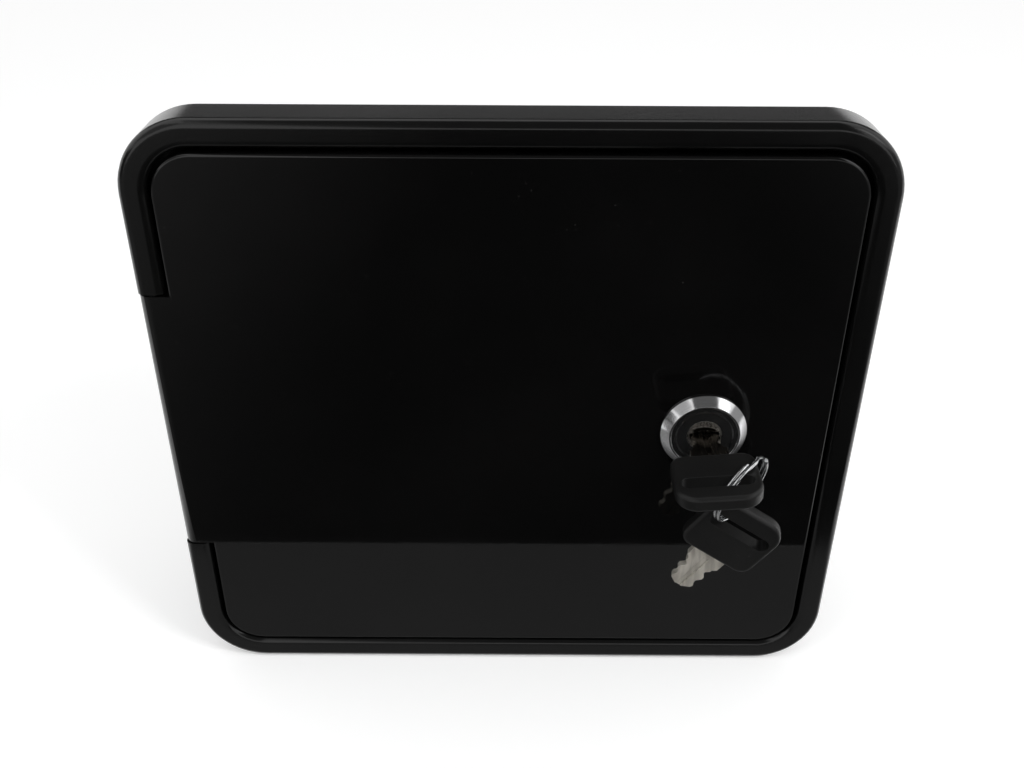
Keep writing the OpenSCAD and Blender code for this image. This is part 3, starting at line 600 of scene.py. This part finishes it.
def make_split_ring():
    """The ring of wire wound twice, with a step over and its two cut ends beside it."""
    radius = 10.8 * MM
    half_width, half_height = 0.6 * MM, 0.565 * MM    # of the wire
    half_step = 0.57 * MM                             # from the ring's middle plane to each turn's middle
    split_at = 100.0                                  # where round the ring the wire starts, in degrees
    first_turn, second_turn = (318, 0, 106), (310, 0, 104)
    ease, climb = (14, 0.3 * half_step, 7), (14, 1.4 * half_step, 7)
    bm = bmesh.new()
    coiled(bm, oval(radius, -half_step, half_width, half_height),
           [first_turn, ease, climb, ease, second_turn])
    cut_rims = [e for e in bm.edges
                if len(e.link_faces) == 2 and max(len(f.verts) for f in e.link_faces) > 4]
    bmesh.ops.bevel(bm, geom=cut_rims, offset=0.1 * MM, offset_type="OFFSET", segments=2, profile=0.5,
                    affect="EDGES", material=-1)
    joint = joints["ring_swing"]
    turn = Vector(joint["axis"]).to_track_quat("Z", "Y").to_matrix().to_4x4()
    bm.transform(Matrix.Translation(joint["pos_m"]) @ turn @ Matrix.Rotation(math.radians(split_at), 4, "Z"))
    piece = finish_mesh("split_ring", bm, "spare_key", ring_wire, sharp=50)
    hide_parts("key_ring")


make_split_ring()


# Screw threads

def thread(name, node, radius, pitch, depth, start, end, body, material, flats_at=None):
    """A screw thread wound on a shank that points into the wall, between two depths along Y.

    flats_at, where given, is how far above and below the middle the thread is cut flat.
    """
    steps_per_turn = 64
    root, crest = radius - 0.1 * MM, radius + depth
    half_foot, half_crest = 0.42 * pitch, 0.07 * pitch
    turns = (end - start) / pitch
    bm = bmesh.new()
    coiled(bm, [(root, -half_foot), (crest, -half_crest), (crest, half_crest), (root, half_foot)],
           [(360 * turns, end - start, max(int(turns * steps_per_turn), 8))])
    if flats_at:
        for across in (Vector((0, 1, 0)), Vector((0, -1, 0))):
            everything = bm.verts[:] + bm.edges[:] + bm.faces[:]
            cut = bmesh.ops.bisect_plane(bm, geom=everything, plane_co=across * flats_at, plane_no=across,
                                         clear_outer=True)["geom_cut"]
            bmesh.ops.holes_fill(bm, edges=[e for e in cut if isinstance(e, bmesh.types.BMEdge)], sides=0)
    stand_on(bm, Vector((middle(node).x, start, middle(node).z)), -OUT)
    finish_mesh(name, bm, body, material, sharp=20)


thread_end_gap = 0.5 * MM
lock_nut_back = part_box("lock_nut")[1].y
barrel_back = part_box("lock_housing")[1].y
fitting_nut_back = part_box("neck_nut")[1].y

thread("lock_thread", "lock_nut", radius=8 * MM, pitch=1 * MM, depth=0.28 * MM,
       start=lock_nut_back + thread_end_gap, end=barrel_back - thread_end_gap,
       body="door", material=collar_black, flats_at=7 * MM)
for name, node, shank_radius in (("neck_thread", "neck_nut", 17 * MM), ("vent_thread", "vent_nut", 7.5 * MM)):
    thread(name, node, radius=shank_radius, pitch=1 * MM, depth=0.35 * MM,
           start=fitting_nut_back + thread_end_gap, end=fitting_nut_back + 1.5 * MM,
           body="flange", material=pan_black)


# Ejector pin marks

def ejector_marks(name, piece, columns, rows, from_y, aim, radius, body, material):
    """Thin raised circles where ejector pins met a moulding, only where the face under them is flat.

    columns and rows are their places across and up, in mm; each face is looked for from from_y along aim.
    """
    tree = BVHTree.FromObject(piece, bpy.context.evaluated_depsgraph_get())
    flat_within = 0.02 * MM
    clear_round = 1.6 * radius
    sunk, raised = -0.05 * MM, 0.1 * MM
    half_foot, half_crest = 0.25 * MM, 0.15 * MM
    section = [(radius - half_foot, sunk), (radius - half_crest, raised), (radius + half_crest, raised),
               (radius + half_foot, sunk)]
    bm = bmesh.new()
    for x, z in [(column * MM, row * MM) for column in columns for row in rows]:
        ring = [Vector((x + clear_round * c, from_y, z + clear_round * s)) for c, s in around(12)]
        hits = [tree.ray_cast(p, aim, 0.1)[0] for p in ring + [Vector((x, from_y, z))]]
        if any(hit is None for hit in hits) or max(abs(hit.y - hits[-1].y) for hit in hits) > flat_within:
            continue
        mark = bmesh.new()
        turned(mark, section, steps=48)
        stand_on(mark, hits[-1], -aim)
        copy = bpy.data.meshes.new("mark_copy")
        mark.to_mesh(copy)
        mark.free()
        bm.from_mesh(copy)
        bpy.data.meshes.remove(copy)
    finish_mesh(name, bm, body, material, sharp=30)


ejector_marks("door_ejector_marks", door, columns=(-72, -45, -15, 15, 38, 78), rows=(-60, -22, 22, 60),
              from_y=4 * MM, aim=OUT, radius=2.5 * MM, body="door", material=gloss_black)
ejector_marks("pan_ejector_marks", pan, columns=(-68, -20, 20, 68), rows=(-58, 0, 58),
              from_y=30 * MM, aim=-OUT, radius=3 * MM, body="flange", material=pan_black)


# Studio: pale floor, white surround and soft lamps

FLOOR_Z = cad_low.z - 0.2 * MM     # a hair under the flange


def flat_sheet(name, x0, x1, y0, y1, z, material):
    bm = bmesh.new()
    bmesh.ops.create_grid(bm, x_segments=1, y_segments=1, size=0.5)
    place = Matrix.Translation(((x0 + x1) / 2, (y0 + y1) / 2, z))
    bm.transform(place @ Matrix.Diagonal((x1 - x0, y1 - y0, 1, 1)))
    mesh = bpy.data.meshes.new(name)
    bm.to_mesh(mesh)
    bm.free()
    sheet = bpy.data.objects.new(name, mesh)
    scene.collection.objects.link(sheet)
    mesh.materials.append(material)
    return sheet


def seen_directly(tree):
    """1 on rays from the camera, a mirror or glass."""
    path = add(tree, "ShaderNodeLightPath")
    mirror = math_node(tree, "MAXIMUM", path.outputs["Is Glossy Ray"], path.outputs["Is Transmission Ray"])
    return math_node(tree, "MAXIMUM", path.outputs["Is Camera Ray"], mirror)


def make_floor():
    """A pale floor that glows a little where it is seen, more with distance, so it ends in white."""
    material, tree, shader = new_material("pale_floor", (0.9, 0.9, 0.9), 0.9, specular=0.0)
    coords = object_coords(tree)
    uneven = noise(tree, coords, 3.0, detail=3.0)
    link(tree, mixed_color(tree, uneven, (0.895, 0.895, 0.895), (0.905, 0.905, 0.905)),
         shader.inputs["Base Color"])
    shader.inputs["Emission Color"].default_value = (1, 1, 1, 1)
    away = add(tree, "ShaderNodeVectorMath", operation="LENGTH")
    link(tree, coords, away.inputs[0])
    glow = ramp(tree, away.outputs["Value"], 0.5, 4.0, 0.24, 0.34)
    link(tree, product(tree, seen_directly(tree), glow), shader.inputs["Emission Strength"])
    flat_sheet("floor", -30, 30, -30, 30, FLOOR_Z, material)


def make_world():
    """A surround that is white where it is seen and lights the object a little less."""
    lighting, seen = 0.75, 1.0
    world = bpy.data.worlds.new("white_surround")
    scene.world = world
    world.use_nodes = True
    tree = world.node_tree
    back = tree.nodes["Background"]
    back.inputs["Color"].default_value = (1, 1, 1, 1)
    link(tree, ramp(tree, seen_directly(tree), 0.0, 1.0, lighting, seen), back.inputs["Strength"])


def soft_lamp(name, place, size, watts):
    """A square lamp aimed at the origin, hidden from mirrors so that no hot spot shows in the gloss."""
    data = bpy.data.lights.new(name, "AREA")
    data.shape = "SQUARE"
    data.size = size
    data.energy = watts
    lamp = bpy.data.objects.new(name, data)
    lamp.location = place
    lamp.rotation_euler = Vector(place).to_track_quat("Z", "Y").to_euler()
    lamp.visible_glossy = False
    scene.collection.objects.link(lamp)


# Cards that only reflections show, in place of the room round the photographed hatch

def hide_from_all_but_mirrors(card):
    card.visible_camera = False
    card.visible_diffuse = False
    card.visible_transmission = False
    card.visible_volume_scatter = False
    card.visible_shadow = False


def glow_material(name):
    material = bpy.data.materials.new(name)
    material.use_nodes = True
    tree = material.node_tree
    tree.nodes.clear()
    glow = add(tree, "ShaderNodeEmission")
    link(tree, glow.outputs[0], add(tree, "ShaderNodeOutputMaterial").inputs["Surface"])
    return material, tree, glow


def floor_card(name, y0, y1, lift, centre, shades):
    """A card a hair over the floor, which changes shade to both sides of a centre line.

    shades are how far from that line the change starts and ends, then the shade inside and outside.
    """
    material, tree, glow = glow_material(name)
    split = add(tree, "ShaderNodeSeparateXYZ")
    link(tree, object_coords(tree), split.inputs[0])
    side = math_node(tree, "ABSOLUTE", math_node(tree, "SUBTRACT", split.outputs[0], centre))
    link(tree, ramp(tree, side, *shades), glow.inputs["Strength"])
    hide_from_all_but_mirrors(flat_sheet(name, -1.5, 1.5, y0, y1, FLOOR_Z + lift, material))


def hung_card(name, place, aim, width, height, shade):
    """A card hung beside the object, facing a place on it."""
    material, _, glow = glow_material(name)
    glow.inputs["Strength"].default_value = shade
    card = flat_sheet(name, -width / 2, width / 2, -height / 2, height / 2, 0, material)
    turn = (Vector(aim) - Vector(place)).to_track_quat("Z", "Y").to_matrix().to_4x4()
    card.data.transform(Matrix.Translation(place) @ turn)
    hide_from_all_but_mirrors(card)


AT_LOCK = (0.058, -0.014, 0)
CARD_SEAM_Y = -0.075     # where the floor cards meet, which the door mirrors as the top of its lighter band

make_floor()
make_world()
floor_card("table_card", y0=CARD_SEAM_Y, y1=-0.0145, lift=0.2 * MM, centre=0.0, shades=(0.14, 0.2, 0.24, 1.2))
floor_card("dark_card", y0=-2.5, y1=CARD_SEAM_Y, lift=0.3 * MM, centre=0.05, shades=(0.11, 0.4, 0.02, 0.22))
hung_card("ceiling_card", (0.16, -0.6, 0.85), AT_LOCK, width=1.0, height=2.0, shade=0.1)
hung_card("upper_left_card", (-0.72, -0.5, 0.62), AT_LOCK, width=0.7, height=0.6, shade=0.38)
hung_card("left_card", (-0.95, -0.25, 0.02), AT_LOCK, width=0.6, height=0.5, shade=0.09)
hung_card("right_card", (1.0, -0.3, 0.08), AT_LOCK, width=0.7, height=0.5, shade=0.3)
hung_card("window_card", (0.84, -0.46, 0.62), AT_LOCK, width=0.24, height=0.5, shade=2.2)
hung_card("back_card", (0, 1.1, 0.75), (0, 0, 0.05), width=3.0, height=0.9, shade=0.12)
soft_lamp("key_softbox", (0.62, -0.5, 0.66), size=0.3, watts=4.0)
soft_lamp("fill_softbox", (-0.5, -0.45, 0.6), size=0.35, watts=1.5)


# Camera, at the photograph's angle

def make_camera():
    elevation, azimuth, roll = (math.radians(degrees) for degrees in (31.25, 0.127, 0.246))
    distance_mm, right_mm, up_mm = 322.9, 0.55, 14.04
    aim_mm = Vector((0, -14, 0))
    back = Vector((math.sin(azimuth) * math.cos(elevation), -math.cos(azimuth) * math.cos(elevation),
                   math.sin(elevation)))
    right = Vector((math.cos(azimuth), math.sin(azimuth), 0))
    up = back.cross(right)
    right_rolled = right * math.cos(roll) + up * math.sin(roll)
    up_rolled = up * math.cos(roll) - right * math.sin(roll)
    place = (back * distance_mm + right * right_mm + up * up_mm + aim_mm) * MM
    data = bpy.data.cameras.new("photo_camera")
    data.sensor_width = 36.0
    data.lens = 37.61
    data.clip_start = 0.005
    camera = bpy.data.objects.new("photo_camera", data)
    camera.matrix_world = Matrix((
        (right_rolled.x, up_rolled.x, back.x, place.x),
        (right_rolled.y, up_rolled.y, back.y, place.y),
        (right_rolled.z, up_rolled.z, back.z, place.z),
        (0, 0, 0, 1)))
    scene.collection.objects.link(camera)
    scene.camera = camera


make_camera()
scene.view_settings.view_transform = "Standard"
